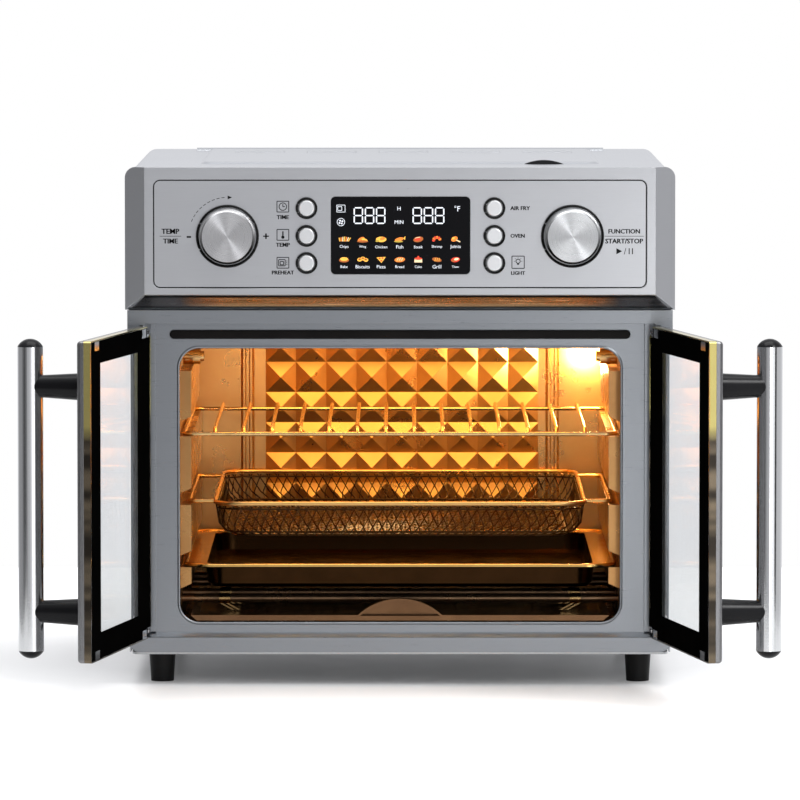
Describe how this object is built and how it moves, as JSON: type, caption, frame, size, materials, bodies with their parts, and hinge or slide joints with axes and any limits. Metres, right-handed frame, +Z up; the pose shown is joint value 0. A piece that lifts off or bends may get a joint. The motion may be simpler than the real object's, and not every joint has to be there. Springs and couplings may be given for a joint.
{
  "type": "toaster oven",
  "caption": "Countertop toaster oven standing open, with side-hinged glass doors, wire rack, mesh basket, baking pan, crumb tray and a panel with knobs, buttons and display.",
  "frame": {"origin": "on the ground under the middle of the oven as it stands with its doors open", "axes": "+X to the right seen from the front, +Y to the back, +Z up"},
  "size_m": [0.5956, 0.5993, 0.42],
  "materials": {
    "stainless_body": "brushed stainless sheet",
    "stainless_door": "brushed stainless sheet",
    "plated_sheet": "plain zinc-plated sheet",
    "polished_rim": "polished",
    "polished_tube": "polished",
    "plated_wire": "bright plated wire",
    "basket_mesh": "plated mesh",
    "pan_coating": "dark baked enamel",
    "tray_sheet": "plain bright sheet",
    "cavity_sheet": "bright aluminised sheet",
    "heater_tube": "oxidised sheathed tube",
    "knob_metal": "turned, satin",
    "button_metal": "satin",
    "ring_metal": "polished",
    "black_moulding": "satin black",
    "black_gloss": "gloss black",
    "black_trim": "mirror-smooth black",
    "seal_rubber": "matt",
    "foot_rubber": "matt",
    "door_pane": "clear tempered glass, black printed border",
    "lamp_glass": "clear heat-proof glass",
    "ceramic": "glazed ceramic",
    "wool": "mineral wool",
    "motor_iron": "laminated iron with a taped coil",
    "circuit_board": "printed circuit board",
    "fan_sheet": "pressed sheet",
    "steel_bits": "plated screws and shafts"
  },
  "bodies": {
    "oven_body": {"casing": "stainless_body", "vent_tab": "black_moulding", "base_plate": "plated_sheet", "feet": "foot_rubber", "screws": "steel_bits", "rear_cover": "plated_sheet", "rear_spacers": "black_moulding", "cable_gland": "black_moulding", "front_bezel": "stainless_body", "seal_strip": "seal_rubber", "control_housing": "stainless_body", "brow_trim": "black_trim", "display_window": "black_gloss", "control_rings": "ring_metal", "encoders": "steel_bits", "switches": "black_moulding", "control_board": "circuit_board", "hinge_ears": "polished_rim", "side_walls": "cavity_sheet", "cavity_roof": "cavity_sheet", "cavity_floor": "cavity_sheet", "back_wall": "cavity_sheet", "heater_ends": "ceramic", "heater_brackets": "plated_wire", "fan_chamber": "plated_sheet", "fan_motor": "motor_iron", "lamp_holder": "ceramic", "lamp_bulb": "lamp_glass", "lamp_lens": "lamp_glass", "insulation": "wool", "relay_board": "circuit_board", "upper_heaters": "heater_tube", "lower_heaters": "heater_tube"},
    "left_door": {"left_door_frame": "stainless_door", "left_door_trim": "polished_rim", "left_door_glass": "door_pane", "left_door_fittings": "polished_rim", "left_handle_tube": "polished_tube", "left_handle_fittings": "black_gloss"},
    "right_door": {"right_door_frame": "stainless_door", "right_door_trim": "polished_rim", "right_door_glass": "door_pane", "right_door_fittings": "polished_rim", "right_handle_tube": "polished_tube", "right_handle_fittings": "black_gloss"},
    "left_knob_body": {"left_knob": "knob_metal"},
    "start_push": {"start_plunger": "black_moulding"},
    "right_knob_body": {"right_knob": "knob_metal"},
    "wire_rack_body": {"wire_rack": "plated_wire"},
    "basket_body": {"basket": "basket_mesh"},
    "baking_pan_body": {"baking_pan": "pan_coating"},
    "crumb_tray_body": {"crumb_tray": "tray_sheet"},
    "fan": {"fan_shaft": "steel_bits", "convection_fan": "fan_sheet"},
    "time_button_body": {"time_button": "button_metal"},
    "temp_button_body": {"temp_button": "button_metal"},
    "preheat_button_body": {"preheat_button": "button_metal"},
    "air_fry_button_body": {"air_fry_button": "button_metal"},
    "oven_button_body": {"oven_button": "button_metal"},
    "light_button_body": {"light_button": "button_metal"}
  },
  "joints": [
    {"name": "left_door_hinge", "type": "hinge", "parent": "oven_body", "child": "left_door", "pos_m": [-0.204, -0.09956, 0.1646], "axis": [0, 0, -1], "range_deg": [-101, 9]},
    {"name": "right_door_hinge", "type": "hinge", "parent": "oven_body", "child": "right_door", "pos_m": [0.204, -0.09956, 0.1646], "axis": [0, 0, 1], "range_deg": [-101, 9]},
    {"name": "left_knob_turn", "type": "hinge", "parent": "oven_body", "child": "left_knob_body", "pos_m": [-0.1376, -0.11806, 0.3619], "axis": [0, 1, 0], "continuous": true},
    {"name": "start_press", "type": "slide", "parent": "oven_body", "child": "start_push", "axis": [0, 1, 0], "range_m": [0, 0.0012], "stiffness_N_per_m": 2000, "springref_m": -0.001},
    {"name": "right_knob_turn", "type": "hinge", "parent": "start_push", "child": "right_knob_body", "pos_m": [0.1376, -0.11806, 0.3619], "axis": [0, 1, 0], "continuous": true},
    {"name": "fan_spin", "type": "hinge", "parent": "oven_body", "child": "fan", "pos_m": [0, 0.08694, 0.34], "axis": [0, 0, 1], "continuous": true},
    {"name": "wire_rack_slide", "type": "slide", "parent": "oven_body", "child": "wire_rack_body", "axis": [0, -1, 0], "range_m": [0, 0.25]},
    {"name": "basket_slide", "type": "slide", "parent": "oven_body", "child": "basket_body", "axis": [0, -1, 0], "range_m": [0, 0.24]},
    {"name": "baking_pan_slide", "type": "slide", "parent": "oven_body", "child": "baking_pan_body", "axis": [0, -1, 0], "range_m": [0, 0.27]},
    {"name": "crumb_tray_slide", "type": "slide", "parent": "oven_body", "child": "crumb_tray_body", "axis": [0, -1, 0], "range_m": [0, 0.3]},
    {"name": "time_button_press", "type": "slide", "parent": "oven_body", "child": "time_button_body", "axis": [0, 1, 0], "range_m": [0, 0.0012], "stiffness_N_per_m": 1500, "springref_m": -0.001},
    {"name": "temp_button_press", "type": "slide", "parent": "oven_body", "child": "temp_button_body", "axis": [0, 1, 0], "range_m": [0, 0.0012], "stiffness_N_per_m": 1500, "springref_m": -0.001},
    {"name": "preheat_button_press", "type": "slide", "parent": "oven_body", "child": "preheat_button_body", "axis": [0, 1, 0], "range_m": [0, 0.0012], "stiffness_N_per_m": 1500, "springref_m": -0.001},
    {"name": "air_fry_button_press", "type": "slide", "parent": "oven_body", "child": "air_fry_button_body", "axis": [0, 1, 0], "range_m": [0, 0.0012], "stiffness_N_per_m": 1500, "springref_m": -0.001},
    {"name": "oven_button_press", "type": "slide", "parent": "oven_body", "child": "oven_button_body", "axis": [0, 1, 0], "range_m": [0, 0.0012], "stiffness_N_per_m": 1500, "springref_m": -0.001},
    {"name": "light_button_press", "type": "slide", "parent": "oven_body", "child": "light_button_body", "axis": [0, 1, 0], "range_m": [0, 0.0012], "stiffness_N_per_m": 1500, "springref_m": -0.001}
  ]
}
